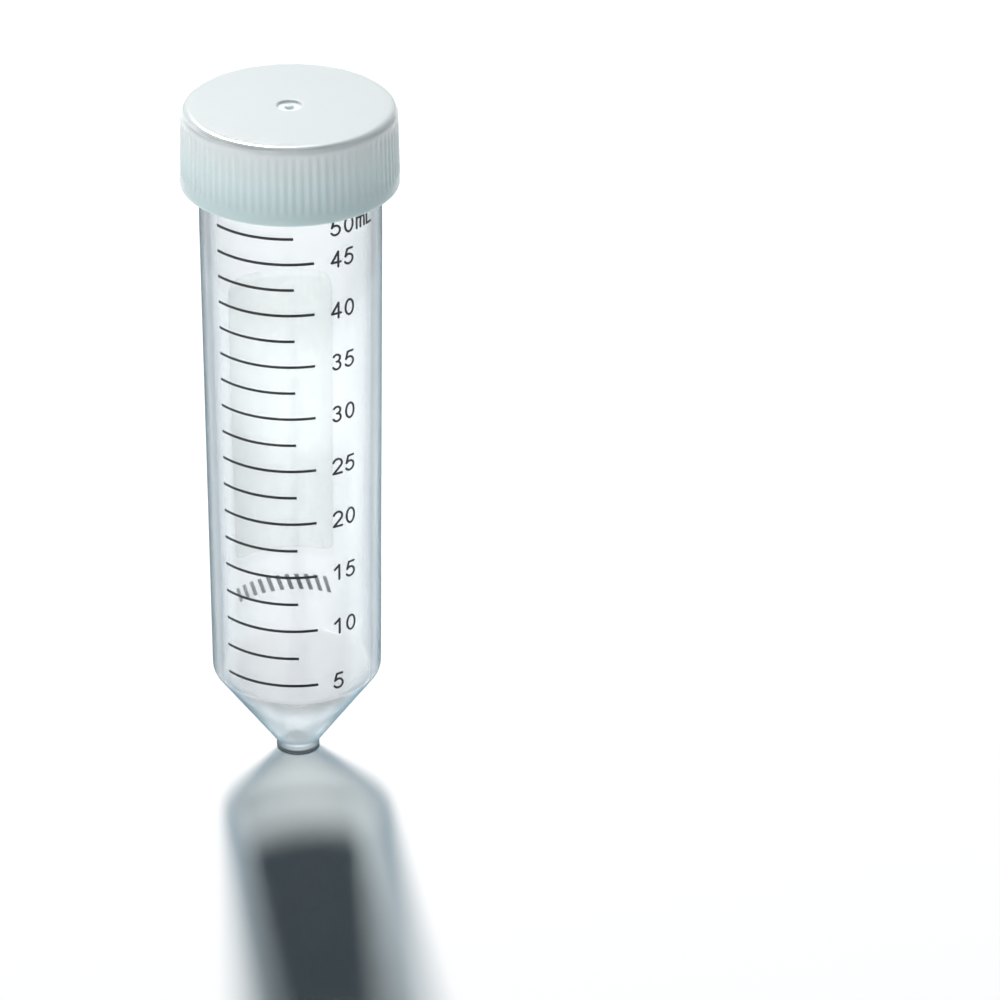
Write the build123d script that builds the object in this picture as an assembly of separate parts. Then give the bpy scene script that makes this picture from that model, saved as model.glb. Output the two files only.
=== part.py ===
from build123d import *
import math
import os

# 50 mL conical centrifuge tube with a ribbed screw cap, standing upright on its small flat foot.
# Origin: centre of the foot's underside. +Z runs up the tube's axis. The printed scale faces -Y.
# Angles round the tube are in degrees: FRONT angles count from -Y towards +X, BACK angles count
# from +Y towards +X.

# ---- Driving dimensions, mm ----

# Tube body, one polypropylene moulding
overall_height = 115.0
foot_radius = 3.5
foot_height = 1.3
foot_edge_round = 0.25
cone_top_z = 15.4
cone_corner_round = 2.0
barrel_bottom_radius = 13.75
barrel_top_radius = 14.45
barrel_straight_from_z = 94.0
neck_from_z = 101.6
neck_radius = 14.2
floor_z = 1.45
floor_radius = 2.15
floor_round = 0.8
inner_cone_top_z = 15.1
bore_bottom_radius = 12.47
bore_top_radius = 13.5
bore_straight_from_z = 100.0
mouth_from_z = 110.4
mouth_radius = 13.6
rim_round = 0.2

# Screw cap, one polyethylene moulding
cap_height = 13.0
cap_top_thickness = 1.3
cap_bottom_radius = 17.35
cap_top_radius = 17.05
cap_edge_round = 1.0
cap_inner_radius = 15.75
cap_inner_round = 0.4
skirt_edge = 0.3
rib_count = 82
rib_groove_depth = 0.3
rib_groove_width = 0.9
plain_band_height = 1.75
gate_recess_radius = 2.1
gate_recess_depth = 0.25
gate_pip_radius = 0.6

# Seal between the cap's underside and the tube's rim
seal_flange_thickness = 0.8
seal_flange_radius = 15.0
seal_inner_radius = 12.2
seal_lip_length = 2.0
seal_lip_radius = 13.25
seal_lip_lead = 0.4

# Right-hand single-start thread. The two ridges run half a pitch apart, with clearance all round.
thread_pitch = 4.0
thread_root_width = 1.5
thread_crest_width = 0.7
thread_overlap = 0.2
tube_thread_crest_radius = 15.35
tube_thread_start_z = 105.6
tube_thread_turns = 1.4
cap_thread_crest_radius = 14.85
cap_thread_start_z = 103.7
cap_thread_turns = 1.5
thread_start_angle = 130.0

# Printed scale: a line every 2.5 mL from 5 mL up, and a number every 5 mL
ink_thickness = 0.08
first_mark_z = 18.56
first_mark_ml = 5.0
mark_step_ml = 2.5
last_mark_ml = 50.0
last_numeral_z = 99.7
mark_line_width = 0.45
mark_left_angle = -51.0
major_mark_right_angle = 15.8
minor_mark_right_angle = 3.0
numeral_left_angle = 26.9
numeral_height = 2.94
numeral_stroke = 0.37
numeral_advance = 2.42

# White writing patch and the plain hatched band below it, printed on the back
patch_low_z = 29.8
patch_high_z = 80.1
patch_left_angle = -52.0
patch_right_angle = 27.0
patch_corner_round = 2.0
band_centre_z = 23.3
band_height = 2.8
band_left_angle = -47.0
band_right_angle = 24.0
band_bar_count = 11
band_bar_width = 0.75
band_bar_slant = 1.0

# ---- Derived places ----

cap_bottom_z = overall_height - cap_height
cap_underside_z = overall_height - cap_top_thickness
rim_z = cap_underside_z - seal_flange_thickness
bore_slope = (bore_top_radius - bore_bottom_radius) / (bore_straight_from_z - inner_cone_top_z)
barrel_slope = (barrel_top_radius - barrel_bottom_radius) / (barrel_straight_from_z - cone_top_z)


def barrel_radius(z):
    """Outer radius of the barrel, or of the neck above it, at height z."""
    if z > neck_from_z:
        return neck_radius
    return barrel_top_radius - barrel_slope * max(0.0, barrel_straight_from_z - z)


def bore_radius(z):
    """Inner radius of the barrel at height z."""
    return bore_bottom_radius + bore_slope * (z - inner_cone_top_z)


def mark_height(millilitres):
    """Height of a scale line: the tapered bore's volume is counted up from the first line."""
    first_radius = bore_radius(first_mark_z)
    volume = 1000.0 * (millilitres - first_mark_ml)
    radius = (first_radius**3 + 3.0 * bore_slope * volume / math.pi) ** (1.0 / 3.0)
    return first_mark_z + (radius - first_radius) / bore_slope


def section(points):
    """A closed section in the XZ plane from (radius, height) points."""
    return make_face(Polyline([(r, 0, z) for r, z in points], close=True))


def rounded(face, corners):
    """Round the section's corners, given as (radius, height, round)."""
    for r, z, size in corners:
        corner = face.vertices().sort_by_distance((r, 0, z))[0]
        face = fillet(corner, size)
    return face


def turned(face, start=0.0, arc=360.0):
    """Revolve a section round the tube's axis, from a compass angle that counts from +X."""
    return Rot(0, 0, start) * revolve(face, Axis.Z, arc)


# ---- Tube body ----


def thread_ridge(wall_radius, crest_radius, start_z, turns):
    """A helical ridge of trapezoid section, rooted a little inside the wall that it grows from."""
    root_radius = wall_radius - math.copysign(thread_overlap, crest_radius - wall_radius)
    flank_slope = (thread_root_width - thread_crest_width) / 2 / abs(crest_radius - wall_radius)
    root = thread_root_width / 2 + flank_slope * thread_overlap
    crest = thread_crest_width / 2
    profile = section(
        [(root_radius, -root), (crest_radius, -crest), (crest_radius, crest), (root_radius, root)]
    )
    path = Helix(thread_pitch, thread_pitch * turns, wall_radius)
    ridge = sweep(profile, path, is_frenet=True)
    return Pos(0, 0, start_z) * Rot(0, 0, thread_start_angle) * ridge


def make_tube():
    outline = section(
        [
            (0, 0),
            (foot_radius, 0),
            (foot_radius, foot_height),
            (barrel_bottom_radius, cone_top_z),
            (barrel_top_radius, barrel_straight_from_z),
            (barrel_top_radius, neck_from_z),
            (neck_radius, neck_from_z),
            (neck_radius, rim_z),
            (mouth_radius, rim_z),
            (mouth_radius, mouth_from_z),
            (bore_top_radius, mouth_from_z - (mouth_radius - bore_top_radius)),
            (bore_top_radius, bore_straight_from_z),
            (bore_bottom_radius, inner_cone_top_z),
            (floor_radius, floor_z),
            (0, floor_z),
        ]
    )
    outline = rounded(
        outline,
        [
            (foot_radius, 0, foot_edge_round),
            (barrel_bottom_radius, cone_top_z, cone_corner_round),
            (neck_radius, rim_z, rim_round),
            (mouth_radius, rim_z, rim_round),
            (floor_radius, floor_z, floor_round),
            (bore_bottom_radius, inner_cone_top_z, cone_corner_round),
        ],
    )
    ridge = thread_ridge(
        neck_radius, tube_thread_crest_radius, tube_thread_start_z, tube_thread_turns
    )
    return turned(outline) + ridge


# ---- Cap and seal ----


def rib_grooves():
    """Round-bottomed grooves between the ribs, leaning inwards with the skirt's taper."""
    cutter_radius = (rib_groove_width**2 / 4 + rib_groove_depth**2) / (2 * rib_groove_depth)
    low_z = cap_bottom_z + plain_band_height
    length = overall_height - cap_edge_round - low_z
    lean = math.degrees(math.atan2(cap_bottom_radius - cap_top_radius, cap_height))
    middle_radius = (cap_bottom_radius + cap_top_radius) / 2
    offset = middle_radius - rib_groove_depth + cutter_radius
    cutter = Pos(offset, 0, low_z + length / 2) * Rot(0, -lean, 0) * Cylinder(cutter_radius, length)
    return [Rot(0, 0, 360.0 * i / rib_count) * cutter for i in range(rib_count)]


def make_cap():
    outline = section(
        [
            (0, cap_underside_z),
            (cap_inner_radius, cap_underside_z),
            (cap_inner_radius, cap_bottom_z + skirt_edge),
            (cap_inner_radius + skirt_edge, cap_bottom_z),
            (cap_bottom_radius, cap_bottom_z),
            (cap_top_radius, overall_height),
            (gate_recess_radius, overall_height),
            (gate_recess_radius - gate_recess_depth, overall_height - gate_recess_depth),
            (gate_pip_radius, overall_height - gate_recess_depth),
            (gate_pip_radius / 2, overall_height),
            (0, overall_height),
        ]
    )
    outline = rounded(
        outline,
        [
            (cap_top_radius, overall_height, cap_edge_round),
            (cap_bottom_radius, cap_bottom_z, skirt_edge),
            (cap_inner_radius, cap_underside_z, cap_inner_round),
        ],
    )
    ridge = thread_ridge(
        cap_inner_radius, cap_thread_crest_radius, cap_thread_start_z, cap_thread_turns
    )
    return turned(outline) - rib_grooves() + ridge


def make_seal():
    """A flange clamped between cap and rim, with a lip that reaches down into the mouth."""
    lip_z = rim_z - seal_lip_length
    outline = section(
        [
            (seal_inner_radius, cap_underside_z),
            (seal_inner_radius, lip_z),
            (seal_lip_radius - seal_lip_lead, lip_z),
            (seal_lip_radius, lip_z + seal_lip_lead),
            (seal_lip_radius, rim_z),
            (seal_flange_radius, rim_z),
            (seal_flange_radius, cap_underside_z),
        ]
    )
    return turned(outline)


# ---- Printing on the barrel ----


def ink_skin(low_z, high_z, start, arc):
    """A skin of ink on the barrel's outer wall between two heights."""
    knees = [z for z in (barrel_straight_from_z,) if low_z < z < high_z]
    heights = [low_z, *knees, high_z]
    inner = [(barrel_radius(z), z) for z in heights]
    outer = [(r + ink_thickness, z) for r, z in reversed(inner)]
    return turned(section(inner + outer), start, arc)


def front_ink(low_z, high_z, left_angle, right_angle):
    return ink_skin(low_z, high_z, left_angle - 90.0, right_angle - left_angle)


def back_ink(low_z, high_z, left_angle, right_angle):
    return ink_skin(low_z, high_z, 90.0 - right_angle, right_angle - left_angle)


def front_plane(angle, z):
    """A plane that faces out of the barrel at a front angle, with its X running to the right."""
    a = math.radians(angle)
    outward = (math.sin(a), -math.cos(a), 0)
    rightward = (math.cos(a), math.sin(a), 0)
    return Plane(origin=(0, 0, z), x_dir=rightward, z_dir=outward)


def back_plane(angle, z):
    """The same for a back angle. Its X runs left as seen from the front."""
    a = math.radians(angle)
    outward = (math.sin(a), math.cos(a), 0)
    leftward = (-math.cos(a), math.sin(a), 0)
    return Plane(origin=(0, 0, z), x_dir=leftward, z_dir=outward)


def stamp(sketch, plane, skin):
    """The part of an ink skin that lies under a sketch pressed on from outside."""
    low = barrel_bottom_radius - 3.0
    high = barrel_top_radius + 3.0
    prism = extrude(plane * Pos(0, 0, low) * sketch, high - low)
    return skin & prism


def graduations(start_ml, step_ml, right_angle):
    lines = []
    count = round((last_mark_ml - start_ml) / step_ml)
    for i in range(count + 1):
        z = mark_height(start_ml + i * step_ml)
        half = mark_line_width / 2
        lines.append(front_ink(z - half, z + half, mark_left_angle, right_angle))
    return lines


def glyph(strokes):
    """One character drawn with a round pen along its centre lines."""
    sketch = Sketch()
    for line in strokes:
        sketch += SlotArc(line, numeral_stroke) if line.geom_type != GeomType.LINE else bar(line)
    return sketch


def bar(line):
    middle = line @ 0.5
    direction = line % 0.5
    angle = math.degrees(math.atan2(direction.Y, direction.X))
    shape = SlotCenterToCenter(line.length, numeral_stroke)
    return Pos(middle.X, middle.Y) * Rot(0, 0, angle) * shape


def run(*points):
    """Straight pen strokes from point to point."""
    return [Line(a, b) for a, b in zip(points, points[1:])]


# Characters are drawn in a box w wide and h high, measured along the pen's centre line.
h = numeral_height - numeral_stroke
w = 0.6 * h


def character(name):
    if name == "0":
        pen = numeral_stroke / 2
        outside = Ellipse(w / 2 + pen, h / 2 + pen)
        return Pos(w / 2, h / 2) * (outside - Ellipse(w / 2 - pen, h / 2 - pen))
    if name == "1":
        return glyph(run((0.1 * w, 0.72 * h), (0.62 * w, h), (0.62 * w, 0)))
    if name == "2":
        r = w / 2
        top = CenterArc((r, h - r), r, -35, 200)
        return glyph([top, *run(top @ 0, (0, 0), (w, 0))])
    if name == "3":
        upper = 0.235 * h
        lower = 0.265 * h
        top = CenterArc((0.46 * w, h - upper), upper, -90, 240)
        bottom = CenterArc((0.46 * w, lower), lower, -155, 245)
        return glyph([top, bottom])
    if name == "4":
        return glyph(run((0.72 * w, 0), (0.72 * w, h), (-0.05 * w, 0.3 * h), (w, 0.3 * h)))
    if name == "5":
        r = 0.315 * h
        bowl = CenterArc((0.95 * w - r, r), r, -150, 290)
        return glyph([*run((0.9 * w, h), (0.25 * w, h), bowl @ 1), bowl])
    if name == "m":
        top = 0.68 * h
        r = 0.17 * h
        arches = [CenterArc((x + r, top - r), r, 0, 180) for x in (0, 2 * r)]
        legs = [Line((x, 0), (x, top - r)) for x in (2 * r, 4 * r)]
        return glyph([Line((0, 0), (0, top)), *arches, *legs])
    return glyph(run((0, h), (0, 0), (0.7 * w, 0)))


def label(text, z):
    """A line's number, centred on the line's height. It starts to the right of the line."""
    solids = []
    reach = 0.6 * numeral_height
    skin = front_ink(z - reach, z + reach, 10.0, 80.0)
    for i, name in enumerate(text):
        along = i * numeral_advance + w / 2
        angle = numeral_left_angle + math.degrees((along + numeral_stroke / 2) / barrel_radius(z))
        sketch = Pos(-w / 2, -h / 2) * character(name)
        solids += stamp(sketch, front_plane(angle, z), skin).solids()
    return solids


def make_numerals():
    """The top number sits a little below its line, clear of the cap's thread."""
    solids = []
    for ml in range(round(first_mark_ml), round(last_mark_ml) + 1, 5):
        if ml < last_mark_ml:
            solids += label(str(ml), mark_height(ml))
        else:
            solids += label(f"{ml}mL", last_numeral_z)
    return solids


def make_patch():
    """The writing patch, with its corners rounded."""
    patch = back_ink(patch_low_z, patch_high_z, patch_left_angle, patch_right_angle)
    middle_angle = (patch_left_angle + patch_right_angle) / 2
    half_angle = math.radians((patch_right_angle - patch_left_angle) / 2)
    width = 2 * barrel_radius(patch_high_z) * math.sin(half_angle)
    height = patch_high_z - patch_low_z
    outline = RectangleRounded(width, height, patch_corner_round)
    return stamp(outline, back_plane(middle_angle, (patch_low_z + patch_high_z) / 2), patch)


def make_hatched_band():
    """A row of slanted bars."""
    half = band_height / 2
    skin = back_ink(band_centre_z - half, band_centre_z + half, -70.0, 70.0)
    bars = []
    for i in range(band_bar_count):
        share = i / (band_bar_count - 1)
        angle = band_left_angle + share * (band_right_angle - band_left_angle)
        bottom = -(band_bar_width + band_bar_slant) / 2
        corners = [
            (bottom, -band_height),
            (bottom + band_bar_width, -band_height),
            (bottom + band_bar_width + 2 * band_bar_slant, band_height),
            (bottom + 2 * band_bar_slant, band_height),
        ]
        sketch = make_face(Polyline(corners, close=True))
        bars += stamp(sketch, back_plane(angle, band_centre_z), skin).solids()
    return bars


def save(name, shape):
    """Write one node. A list of separate solids becomes one compound."""
    node = Compound(children=list(shape)) if isinstance(shape, list) else shape
    export_step(node, f"parts/{name}.step")


os.makedirs("parts", exist_ok=True)
save("tube_body", make_tube())
save("screw_cap", make_cap())
save("cap_seal_ring", make_seal())
save("major_graduations", graduations(first_mark_ml, 2 * mark_step_ml, major_mark_right_angle))
save(
    "minor_graduations",
    graduations(first_mark_ml + mark_step_ml, 2 * mark_step_ml, minor_mark_right_angle),
)
save("scale_numerals", make_numerals())
save("writing_patch", make_patch())
save("hatched_band", make_hatched_band())
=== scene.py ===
import math

import bmesh
import bpy
import numpy as np
from mathutils import Matrix, Vector


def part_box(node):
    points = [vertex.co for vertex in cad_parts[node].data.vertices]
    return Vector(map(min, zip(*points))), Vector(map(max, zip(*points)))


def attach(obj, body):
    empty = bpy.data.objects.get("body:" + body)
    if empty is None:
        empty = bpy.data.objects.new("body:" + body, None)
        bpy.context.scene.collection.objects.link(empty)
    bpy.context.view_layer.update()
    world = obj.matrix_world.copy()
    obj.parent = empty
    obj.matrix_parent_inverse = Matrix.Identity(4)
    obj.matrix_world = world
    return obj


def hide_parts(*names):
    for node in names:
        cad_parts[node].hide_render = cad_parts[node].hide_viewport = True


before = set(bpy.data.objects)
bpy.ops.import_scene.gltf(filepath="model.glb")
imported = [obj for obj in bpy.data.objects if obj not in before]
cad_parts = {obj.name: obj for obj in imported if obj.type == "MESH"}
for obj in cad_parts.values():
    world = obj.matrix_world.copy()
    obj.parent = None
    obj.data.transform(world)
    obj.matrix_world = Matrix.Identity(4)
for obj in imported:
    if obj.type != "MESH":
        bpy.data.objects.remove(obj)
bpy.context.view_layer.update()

MM = 0.001

# ---- Sizes read from the frame, in metres ----

tube_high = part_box("tube_body")[1]
cap_low, cap_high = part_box("screw_cap")
seal_low, seal_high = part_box("cap_seal_ring")
RIM_Z = tube_high.z
CAP_BOTTOM_Z = cap_low.z
CAP_TOP_Z = cap_high.z
CAP_UNDERSIDE_Z = seal_high.z
CAP_BOTTOM_R = cap_high.x

# ---- Sizes of the two mouldings, in metres ----

FOOT_R = 3.5 * MM
FOOT_H = 1.3 * MM
CONE_TOP_Z = 15.4 * MM
BARREL_BOTTOM_R = 13.75 * MM
BARREL_TOP_R = 14.45 * MM
BARREL_STRAIGHT_Z = 94.0 * MM
NECK_Z = 101.6 * MM
NECK_R = 14.2 * MM
FLOOR_Z = 1.45 * MM
FLOOR_R = 2.15 * MM
INNER_CONE_TOP_Z = 15.1 * MM
BORE_BOTTOM_R = 12.47 * MM
BORE_TOP_R = 13.5 * MM
BORE_STRAIGHT_Z = 100.0 * MM
MOUTH_Z = 110.4 * MM
MOUTH_R = 13.6 * MM

CAP_TOP_R = 17.05 * MM
CAP_INNER_R = 15.75 * MM
CAP_EDGE_ROUND = 1.2 * MM
CAP_EDGE_TO_RIBS = 1.3 * MM
PLAIN_BAND = 1.75 * MM
RIBS = 82
RIB_DEPTH = 0.2 * MM
RIB_FADE = 1.2 * MM
COLUMNS_PER_RIB = 6
GATE_R = 2.1 * MM
GATE_DEPTH = 0.4 * MM
GATE_TIP_Z = CAP_TOP_Z - 0.02 * MM

SEAL_FLANGE_R = 15.0 * MM
SEAL_LIP_R = 13.25 * MM
SEAL_HOLE_R = 12.2 * MM

PITCH = 4.0 * MM
THREAD_ROOT = 1.5 * MM
THREAD_CREST = 0.7 * MM
THREAD_RUN_OUT_TURNS = 0.06
THREAD_START_ANGLE = math.radians(130.0)
TUBE_THREAD = {"start": 105.6 * MM, "turns": 1.4, "height": 1.15 * MM}
CAP_THREAD = {"start": 103.7 * MM, "turns": 1.5, "height": 0.9 * MM}


# ---- Surfaces of revolution ----


def arc_points(corner, before, after, radius, steps=6):
    """Points of a round that replaces a corner of an outline."""
    c = np.array(corner)
    u = np.array(before) - c
    v = np.array(after) - c
    u /= np.linalg.norm(u)
    v /= np.linalg.norm(v)
    half = math.acos(np.clip(u @ v, -1, 1)) / 2
    reach = radius / math.tan(half)
    middle = c + (u + v) / np.linalg.norm(u + v) * radius / math.sin(half)
    start = c + u * reach - middle
    end = c + v * reach - middle
    a0 = math.atan2(start[1], start[0])
    a1 = math.atan2(end[1], end[0])
    turn = (a1 - a0 + math.pi) % (2 * math.pi) - math.pi
    angles = a0 + turn * np.linspace(0, 1, steps + 1)
    return [tuple(middle + radius * np.array((math.cos(a), math.sin(a)))) for a in angles]


def outline(corners):
    """An outline of (radius, height) from corners (radius, height, round)."""
    points = []
    for i, (r, z, size) in enumerate(corners):
        if size == 0 or i in (0, len(corners) - 1):
            points.append((r, z))
        else:
            points += arc_points((r, z), corners[i - 1][:2], corners[i + 1][:2], size)
    return points


def divided(points, step, fine_radius=None, fine_step=None):
    """The same outline with its long runs cut into equal steps, finer on the wall at fine_radius."""
    result = [points[0]]
    for a, b in zip(points, points[1:]):
        on_wall = fine_radius is not None and np.allclose((a[0], b[0]), fine_radius, rtol=0, atol=1e-6)
        count = max(1, math.ceil(math.dist(a, b) / (fine_step if on_wall else step)))
        for k in range(1, count + 1):
            t = k / count
            result.append((a[0] + t * (b[0] - a[0]), a[1] + t * (b[1] - a[1])))
    return result


def lathe(name, points, columns, offset=None):
    """A closed surface of revolution. offset(angles, radii, heights) adds to the radius."""
    pts = np.array(points)
    rings = pts[pts[:, 0] > 1e-7]
    angles = np.arange(columns) * 2 * math.pi / columns
    radii = np.repeat(rings[:, :1], columns, axis=1)
    heights = np.repeat(rings[:, 1:], columns, axis=1)
    if offset is not None:
        radii = radii + offset(np.broadcast_to(angles, radii.shape), radii, heights)
    verts = np.stack([radii * np.cos(angles), radii * np.sin(angles), heights], -1).reshape(-1, 3)
    verts = verts.tolist()
    faces = []
    closed = pts[0, 0] > 1e-7
    count = len(rings)
    last = count if closed else count - 1
    for j in range(last):
        a = j * columns
        b = (j + 1) % count * columns
        for i in range(columns):
            k = (i + 1) % columns
            faces.append((a + i, a + k, b + k, b + i))
    if not closed:
        verts.append((0.0, 0.0, pts[0, 1]))
        verts.append((0.0, 0.0, pts[-1, 1]))
        top = (count - 1) * columns
        for i in range(columns):
            k = (i + 1) % columns
            faces.append((i, len(verts) - 2, k))
            faces.append((top + i, top + k, len(verts) - 1))
    mesh = bpy.data.meshes.new(name)
    mesh.from_pydata(verts, [], faces)
    mesh.validate()
    bm = bmesh.new()
    bm.from_mesh(mesh)
    bmesh.ops.recalc_face_normals(bm, faces=bm.faces)
    bm.to_mesh(mesh)
    bm.free()
    mesh.shade_smooth()
    mesh.set_sharp_from_angle(angle=math.radians(50))
    piece = bpy.data.objects.new(name, mesh)
    bpy.context.scene.collection.objects.link(piece)
    return piece


def smooth_step(x):
    x = np.clip(x, 0.0, 1.0)
    return x * x * (3.0 - 2.0 * x)


def thread(angles, heights, start, turns, height):
    """Height of a single-start right-hand thread over its wall, run out gently at both ends."""
    result = np.zeros_like(heights)
    around = (angles - THREAD_START_ANGLE) % (2 * math.pi)
    for lap in range(math.ceil(turns)):
        turn = around / (2 * math.pi) + lap
        away = np.abs(heights - start - turn * PITCH)
        side = np.clip((THREAD_ROOT / 2 - away) / ((THREAD_ROOT - THREAD_CREST) / 2), 0.0, 1.0)
        run_in = smooth_step(turn / THREAD_RUN_OUT_TURNS)
        run_out = smooth_step((turns - turn) / THREAD_RUN_OUT_TURNS)
        result = np.maximum(result, height * side * run_in * run_out)
    return result


# ---- Tube ----


def tube_offset(angles, radii, heights):
    """The thread stands on the neck's outer wall only."""
    outside = (radii > NECK_R - 0.01 * MM) & (heights > NECK_Z)
    return np.where(outside, thread(angles, heights, **TUBE_THREAD), 0.0)


def make_tube():
    corners = [
        (0, 0, 0),
        (FOOT_R, 0, 0.25 * MM),
        (FOOT_R, FOOT_H, 0.2 * MM),
        (BARREL_BOTTOM_R, CONE_TOP_Z, 2.0 * MM),
        (BARREL_TOP_R, BARREL_STRAIGHT_Z, 0),
        (BARREL_TOP_R, NECK_Z, 0.08 * MM),
        (NECK_R, NECK_Z, 0.08 * MM),
        (NECK_R, RIM_Z, 0.2 * MM),
        (MOUTH_R, RIM_Z, 0.2 * MM),
        (MOUTH_R, MOUTH_Z, 0),
        (BORE_TOP_R, MOUTH_Z - 0.1 * MM, 0),
        (BORE_TOP_R, BORE_STRAIGHT_Z, 0),
        (BORE_BOTTOM_R, INNER_CONE_TOP_Z, 2.0 * MM),
        (FLOOR_R, FLOOR_Z, 0.8 * MM),
        (0, FLOOR_Z, 0),
    ]
    points = outline(corners)
    neck_start = next(i for i, p in enumerate(points) if p[1] > NECK_Z - 0.2 * MM)
    neck_end = next(i for i, p in enumerate(points) if p[1] > RIM_Z - 0.3 * MM)
    fine = divided(points[neck_start : neck_end + 1], 0.1 * MM)
    below = divided(points[: neck_start + 1], 4 * MM)
    inside = divided(points[neck_end:], 4 * MM)
    points = below + fine[1:] + inside[1:]
    piece = lathe("clear_tube", points, 256, tube_offset)
    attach(piece, "tube")
    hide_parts("tube_body")
    return piece


# ---- Cap and seal ----


def cap_offset(angles, radii, heights):
    """Grip ribs outside, thread inside."""
    outer = radii > CAP_INNER_R + 0.8 * MM
    low = smooth_step((heights - CAP_BOTTOM_Z - PLAIN_BAND + 0.1 * MM) / RIB_FADE)
    high = smooth_step((CAP_TOP_Z - CAP_EDGE_TO_RIBS - heights) / RIB_FADE)
    wave = 0.5 - 0.5 * np.cos(RIBS * angles)
    groove = -RIB_DEPTH * wave * low * high
    inner = (radii < CAP_INNER_R + 0.01 * MM) & (radii > CAP_INNER_R - 0.01 * MM)
    ridge = -thread(angles, heights, **CAP_THREAD)
    return np.where(outer, groove, 0.0) + np.where(inner, ridge, 0.0)


def make_cap():
    corners = [
        (0, CAP_UNDERSIDE_Z, 0),
        (CAP_INNER_R, CAP_UNDERSIDE_Z, 0.4 * MM),
        (CAP_INNER_R, CAP_BOTTOM_Z, 0.3 * MM),
        (CAP_BOTTOM_R, CAP_BOTTOM_Z, 0.3 * MM),
        (CAP_TOP_R, CAP_TOP_Z, CAP_EDGE_ROUND),
        (GATE_R, CAP_TOP_Z, 0.1 * MM),
        (GATE_R - GATE_DEPTH, CAP_TOP_Z - GATE_DEPTH, 0.1 * MM),
        (0.9 * MM, CAP_TOP_Z - GATE_DEPTH, 0.1 * MM),
        (0.5 * MM, GATE_TIP_Z, 0.2 * MM),
        (0, GATE_TIP_Z, 0),
    ]
    points = divided(outline(corners), 0.5 * MM, CAP_INNER_R, 0.18 * MM)
    piece = lathe("ribbed_cap", points, RIBS * COLUMNS_PER_RIB, cap_offset)
    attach(piece, "cap")
    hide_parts("screw_cap")
    return piece


def make_seal():
    lip_z = seal_low.z
    corners = [
        (SEAL_FLANGE_R, CAP_UNDERSIDE_Z, 0),
        (SEAL_HOLE_R, CAP_UNDERSIDE_Z, 0),
        (SEAL_HOLE_R, lip_z, 0.15 * MM),
        (12.85 * MM, lip_z, 0.1 * MM),
        (SEAL_LIP_R, lip_z + 0.4 * MM, 0.1 * MM),
        (SEAL_LIP_R, RIM_Z, 0),
        (SEAL_FLANGE_R, RIM_Z, 0.15 * MM),
        (SEAL_FLANGE_R, CAP_UNDERSIDE_Z - 0.2 * MM, 0),
    ]
    piece = lathe("seal_lip_ring", outline(corners), 192)
    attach(piece, "seal")
    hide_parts("cap_seal_ring")
    return piece


# ---- Materials ----


def new_material(name):
    material = bpy.data.materials.new(name)
    material.use_nodes = True
    nodes = material.node_tree.nodes
    nodes.clear()
    return material, nodes, material.node_tree.links


def node(nodes, kind, **values):
    made = nodes.new(kind)
    for key, value in values.items():
        if key in made.inputs:
            made.inputs[key].default_value = value
        else:
            setattr(made, key, value)
    return made


def bump_from_noise(nodes, links, scale, strength, distance):
    """Fine unevenness of a moulded skin, worked out from the place on the object."""
    place = nodes.new("ShaderNodeTexCoord")
    noise = node(nodes, "ShaderNodeTexNoise", Scale=scale, Detail=3.0, Roughness=0.5)
    bump = node(nodes, "ShaderNodeBump", Strength=strength, Distance=distance)
    links.new(place.outputs["Object"], noise.inputs["Vector"])
    links.new(noise.outputs["Fac"], bump.inputs["Height"])
    return bump


def colour_ramp(nodes, *stops):
    """A ramp through stops of (position, colour)."""
    ramp = nodes.new("ShaderNodeValToRGB")
    elements = ramp.color_ramp.elements
    elements[0].position = stops[0][0]
    elements[0].color = (*stops[0][1], 1)
    elements[1].position = stops[-1][0]
    elements[1].color = (*stops[-1][1], 1)
    for position, colour in stops[1:-1]:
        elements.new(position).color = (*colour, 1)
    return ramp


def height_share(nodes, links, low, high, to_low=0.0):
    """How far the height on the object lies between low and high, from to_low to 1."""
    place = nodes.new("ShaderNodeTexCoord")
    split = nodes.new("ShaderNodeSeparateXYZ")
    share = nodes.new("ShaderNodeMapRange")
    share.inputs["From Min"].default_value = low
    share.inputs["From Max"].default_value = high
    share.inputs["To Min"].default_value = to_low
    links.new(place.outputs["Object"], split.inputs["Vector"])
    links.new(split.outputs["Z"], share.inputs["Value"])
    return share


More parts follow.
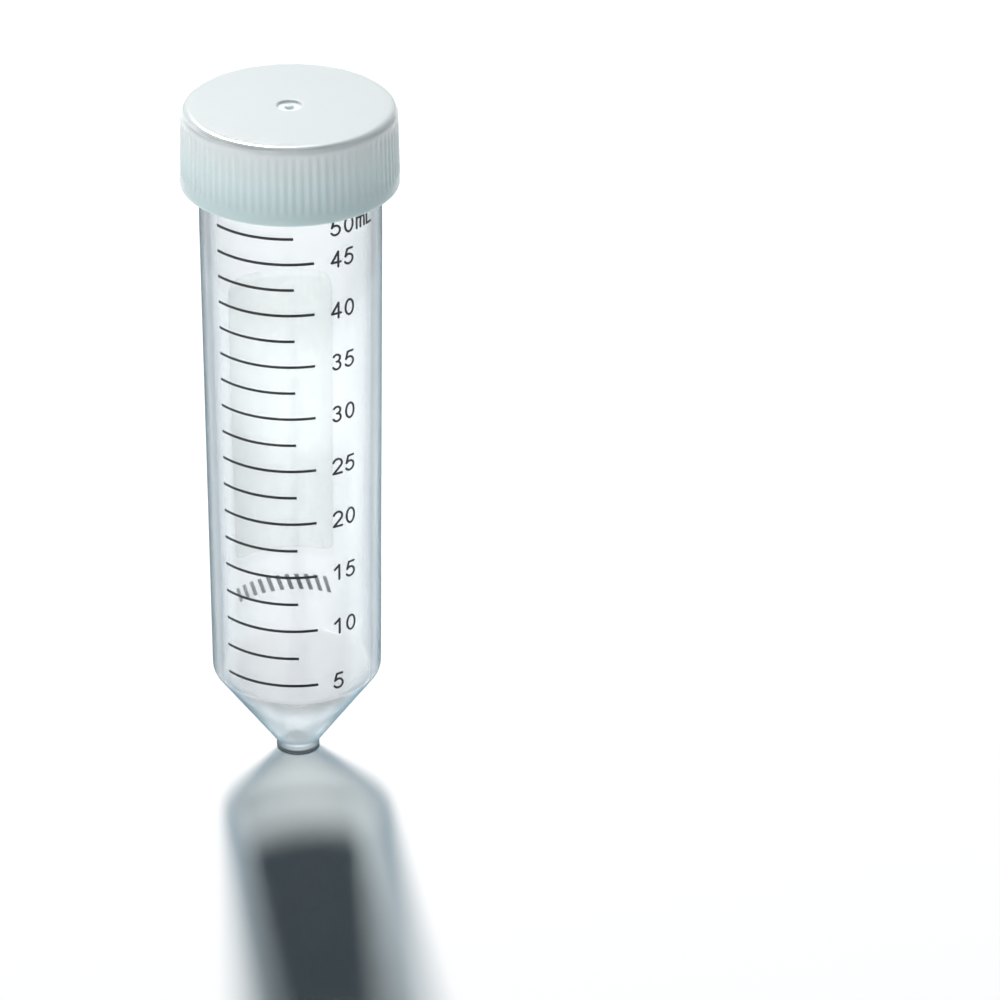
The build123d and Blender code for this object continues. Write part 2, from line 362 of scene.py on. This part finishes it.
def clear_polypropylene():
    """Clear plastic with the faint milky haze of polypropylene.

    The haze is strongest at a glancing angle and in the thick ring the tube stands on.
    """
    material, nodes, links = new_material("clear_polypropylene")
    out = nodes.new("ShaderNodeOutputMaterial")
    plastic = nodes.new("ShaderNodeBsdfPrincipled")
    plastic.inputs["Base Color"].default_value = (0.97, 0.97, 0.97, 1)
    plastic.inputs["Transmission Weight"].default_value = 1.0
    plastic.inputs["Roughness"].default_value = 0.04
    plastic.inputs["IOR"].default_value = 1.49
    bump = bump_from_noise(nodes, links, 260.0, 0.05, 0.00002)
    links.new(bump.outputs["Normal"], plastic.inputs["Normal"])
    facing = node(nodes, "ShaderNodeLayerWeight", Blend=0.5)

    # The haze: its tone, and how much of it there is by angle and by height. Its tone turns dark
    # blue-grey at a glancing angle: painted shade along the tube's edges.
    haze = nodes.new("ShaderNodeBsdfTranslucent")
    # The tone's dark glancing-angle stop is painted shade along the tube's edges.
    tone = colour_ramp(nodes, (0.5, (0.86, 0.875, 0.89)), (0.85, (0.16, 0.3, 0.38)))
    amount = colour_ramp(nodes, (0.1, (0.07,) * 3), (0.5, (0.19,) * 3), (0.85, (0.75,) * 3))
    low = height_share(nodes, links, 0.0, 4.0 * MM)
    clear = (0.0,) * 3
    milky = (0.7,) * 3
    ring = colour_ramp(nodes, (0.1, clear), (0.18, milky), (0.42, milky), (0.6, clear))
    haziest = node(nodes, "ShaderNodeMath", operation="MAXIMUM")
    body = nodes.new("ShaderNodeMixShader")
    links.new(facing.outputs["Facing"], tone.inputs["Fac"])
    links.new(facing.outputs["Facing"], amount.inputs["Fac"])
    links.new(low.outputs["Result"], ring.inputs["Fac"])
    links.new(tone.outputs["Color"], haze.inputs["Color"])
    links.new(ring.outputs["Color"], haziest.inputs[0])
    links.new(amount.outputs["Color"], haziest.inputs[1])
    links.new(haziest.outputs[0], body.inputs[0])
    links.new(plastic.outputs[0], body.inputs[1])
    links.new(haze.outputs[0], body.inputs[2])

    # Shadow rays and diffuse rays pass straight through, a little dimmed. Next to the floor
    # they are nearly stopped, a painted contact shadow: it gives the dark line the tube
    # stands on in the photo.
    passing = nodes.new("ShaderNodeBsdfTransparent")
    dim = colour_ramp(nodes, (0.0, (0.92, 0.928, 0.92)), (0.9, (0.78, 0.8, 0.81)))
    # Painted contact shadow: light passing the lowest 0.2 to 0.45 mm is cut down to a tenth.
    painted_contact_shadow = height_share(nodes, links, 0.2 * MM, 0.45 * MM, to_low=0.1)
    scaled = node(nodes, "ShaderNodeVectorMath", operation="SCALE")
    path = nodes.new("ShaderNodeLightPath")
    either = node(nodes, "ShaderNodeMath", operation="MAXIMUM")
    mix = nodes.new("ShaderNodeMixShader")
    links.new(facing.outputs["Facing"], dim.inputs["Fac"])
    links.new(dim.outputs["Color"], scaled.inputs[0])
    links.new(painted_contact_shadow.outputs["Result"], scaled.inputs["Scale"])
    links.new(scaled.outputs[0], passing.inputs["Color"])
    links.new(path.outputs["Is Shadow Ray"], either.inputs[0])
    links.new(path.outputs["Is Diffuse Ray"], either.inputs[1])
    links.new(either.outputs[0], mix.inputs[0])
    links.new(body.outputs[0], mix.inputs[1])
    links.new(passing.outputs[0], mix.inputs[2])
    links.new(mix.outputs[0], out.inputs["Surface"])

    absorb = node(nodes, "ShaderNodeVolumeAbsorption", Density=62.0, Color=(0.0, 0.22, 0.34, 1))
    links.new(absorb.outputs[0], out.inputs["Volume"])
    return material


def natural_polyethylene(name, low_z, high_z):
    """Milky, unpigmented polyethylene: a glossy skin over a body that light scatters through.

    It is palest where the wall runs into the top plate, and a little darker towards the skirt:
    painted light and shade by height. The top plate is painted darker against the strong light on it.
    """
    material, nodes, links = new_material(name)
    out = nodes.new("ShaderNodeOutputMaterial")
    plastic = nodes.new("ShaderNodeBsdfPrincipled")
    plastic.inputs["Roughness"].default_value = 0.1
    plastic.inputs["Specular IOR Level"].default_value = 0.3
    plastic.inputs["IOR"].default_value = 1.5
    plastic.inputs["Subsurface Weight"].default_value = 1.0
    plastic.inputs["Subsurface Scale"].default_value = 0.0011
    plastic.inputs["Subsurface Radius"].default_value = (1.0, 1.0, 1.0)
    place = nodes.new("ShaderNodeTexCoord")
    height = height_share(nodes, links, low_z, high_z)
    noise = node(nodes, "ShaderNodeTexNoise", Scale=160.0, Detail=2.0, Roughness=0.5)
    uneven = node(nodes, "ShaderNodeMath", operation="MULTIPLY_ADD")
    uneven.inputs[1].default_value = 0.03
    # Colour stops by height: the skirt stop is painted shade, the shoulder stop painted light from
    # above, and the top stop painted darker against the top plate's strong light; the noise adds
    # random tone.
    skirt = (0.03, (0.645, 0.765, 0.775))
    wall = (0.55, (0.8, 0.915, 0.92))
    shoulder_painted_light = (0.985, (0.88, 0.965, 0.97))
    top = (1.0, (0.645, 0.68, 0.68))
    ramp = colour_ramp(nodes, skirt, wall, shoulder_painted_light, top)
    links.new(place.outputs["Object"], noise.inputs["Vector"])
    links.new(noise.outputs["Fac"], uneven.inputs[0])
    links.new(height.outputs["Result"], uneven.inputs[2])
    links.new(uneven.outputs[0], ramp.inputs["Fac"])
    links.new(ramp.outputs["Color"], plastic.inputs["Base Color"])
    bump = bump_from_noise(nodes, links, 900.0, 0.12, 0.00003)
    links.new(bump.outputs["Normal"], plastic.inputs["Normal"])
    links.new(plastic.outputs[0], out.inputs["Surface"])
    return material


def uneven_tone(nodes, links, dark, light, scale):
    """A tone that wanders between dark and light with the place on the object."""
    place = nodes.new("ShaderNodeTexCoord")
    noise = node(nodes, "ShaderNodeTexNoise", Scale=scale, Detail=4.0, Roughness=0.6)
    ramp = colour_ramp(nodes, (0.35, dark), (0.65, light))
    links.new(place.outputs["Object"], noise.inputs["Vector"])
    links.new(noise.outputs["Fac"], ramp.inputs["Fac"])
    return ramp


def printed_ink(name, dark, light, roughness):
    """Screen-printed ink: its tone wanders a little where the film is thicker or thinner."""
    material, nodes, links = new_material(name)
    out = nodes.new("ShaderNodeOutputMaterial")
    ink = node(nodes, "ShaderNodeBsdfPrincipled", Roughness=roughness)
    tone = uneven_tone(nodes, links, dark, light, 700.0)
    links.new(tone.outputs["Color"], ink.inputs["Base Color"])
    bump = bump_from_noise(nodes, links, 1500.0, 0.1, 0.00001)
    links.new(bump.outputs["Normal"], ink.inputs["Normal"])
    links.new(ink.outputs[0], out.inputs["Surface"])
    return material


def white_ink():
    """Chalky white ink, thin enough for light to come through."""
    material, nodes, links = new_material("white_ink")
    out = nodes.new("ShaderNodeOutputMaterial")
    tone = uneven_tone(nodes, links, (0.91, 0.91, 0.9), (0.96, 0.96, 0.95), 900.0)
    ink = node(nodes, "ShaderNodeBsdfPrincipled", Roughness=0.75)
    glow = nodes.new("ShaderNodeBsdfTranslucent")
    mix = nodes.new("ShaderNodeMixShader")
    mix.inputs[0].default_value = 0.8
    links.new(tone.outputs["Color"], ink.inputs["Base Color"])
    links.new(tone.outputs["Color"], glow.inputs["Color"])
    links.new(ink.outputs[0], mix.inputs[1])
    links.new(glow.outputs[0], mix.inputs[2])
    links.new(mix.outputs[0], out.inputs["Surface"])
    return material


def dress(piece, material):
    piece.data.materials.clear()
    piece.data.materials.append(material)


# ---- Studio ----


def make_floor():
    mesh = bpy.data.meshes.new("studio_floor")
    bm = bmesh.new()
    bmesh.ops.create_grid(bm, x_segments=8, y_segments=8, size=6.0)
    bm.to_mesh(mesh)
    bm.free()
    floor = bpy.data.objects.new("studio_floor", mesh)
    bpy.context.scene.collection.objects.link(floor)
    material, nodes, links = new_material("studio_white")
    out = nodes.new("ShaderNodeOutputMaterial")
    white = nodes.new("ShaderNodeBsdfPrincipled")
    white.inputs["Base Color"].default_value = (0.9, 0.9, 0.9, 1)
    white.inputs["Roughness"].default_value = 0.9
    white.inputs["Specular IOR Level"].default_value = 0.0
    links.new(white.outputs[0], out.inputs["Surface"])
    dress(floor, material)


def aim(obj, target):
    towards = Vector(target) - obj.location
    obj.rotation_euler = towards.to_track_quat("-Z", "Y").to_euler()


def area_light(name, place, target, shape, width, height, power):
    data = bpy.data.lights.new(name, "AREA")
    data.shape = shape
    data.size = width
    data.size_y = height
    data.energy = power
    light = bpy.data.objects.new(name, data)
    bpy.context.scene.collection.objects.link(light)
    light.location = place
    aim(light, target)


def direction(azimuth, elevation):
    """Unit vector towards a compass angle from +Y towards +X, and a height angle."""
    a = math.radians(azimuth)
    e = math.radians(elevation)
    return Vector((math.sin(a) * math.cos(e), math.cos(a) * math.cos(e), math.sin(e)))


def make_lights():
    """A strong key from behind, a weak low fill at the left, and a small lamp on the cap's top."""
    centre = Vector((0, 0, 0.05))
    key_place = centre + 4.0 * direction(-5.5, 36.0)
    area_light("key", key_place, centre, "ELLIPSE", 0.36, 0.73, 298.0)
    fill_place = centre + 1.6 * direction(-125.0, 6.0)
    area_light("left_fill", fill_place, centre, "RECTANGLE", 0.8, 0.3, 5.5)
    data = bpy.data.lights.new("cap_light", "SPOT")
    data.energy = 130.0
    data.spot_size = math.radians(2.1)
    data.spot_blend = 1.0
    data.shadow_soft_size = 0.05
    spot = bpy.data.objects.new("cap_light", data)
    bpy.context.scene.collection.objects.link(spot)
    above_cap = Vector((0, 0, CAP_TOP_Z + 4 * MM))
    spot.location = above_cap + 1.5 * direction(-155.0, 50.0)
    aim(spot, above_cap)
    world = bpy.data.worlds.new("studio")
    world.use_nodes = True
    back = world.node_tree.nodes["Background"]
    back.inputs["Color"].default_value = (0.3, 0.7, 1.0, 1)
    back.inputs["Strength"].default_value = 0.035
    bpy.context.scene.world = world


def make_camera():
    data = bpy.data.cameras.new("camera")
    data.lens = 225.1
    data.sensor_width = 36.0
    data.clip_start = 0.05
    data.clip_end = 50.0
    camera = bpy.data.objects.new("camera", data)
    bpy.context.scene.collection.objects.link(camera)
    turn = Matrix.Rotation(math.radians(-0.51), 4, "Z")
    tilt = Matrix.Rotation(math.radians(90.0 - 27.64), 4, "X")
    roll = Matrix.Rotation(math.radians(0.17), 4, "Z")
    camera.matrix_world = Matrix.Translation((0.0252, -0.8951, 0.5140)) @ turn @ tilt @ roll
    bpy.context.scene.camera = camera


make_camera()
tube = make_tube()
cap = make_cap()
seal = make_seal()

dress(tube, clear_polypropylene())
dress(cap, natural_polyethylene("natural_polyethylene", CAP_BOTTOM_Z, CAP_TOP_Z))
dress(seal, natural_polyethylene("seal_polyethylene", seal_low.z, seal_high.z))
black = printed_ink("black_ink", (0.008, 0.01, 0.012), (0.03, 0.034, 0.038), 0.45)
white = white_ink()
green = printed_ink("grey_green_ink", (0.04, 0.065, 0.06), (0.07, 0.1, 0.095), 0.5)
for name in ("major_graduations", "minor_graduations", "scale_numerals"):
    dress(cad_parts[name], black)
dress(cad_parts["writing_patch"], white)
dress(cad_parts["hatched_band"], green)

make_floor()
make_lights()

view = bpy.context.scene.view_settings
view.view_transform = "Standard"
view.look = "None"
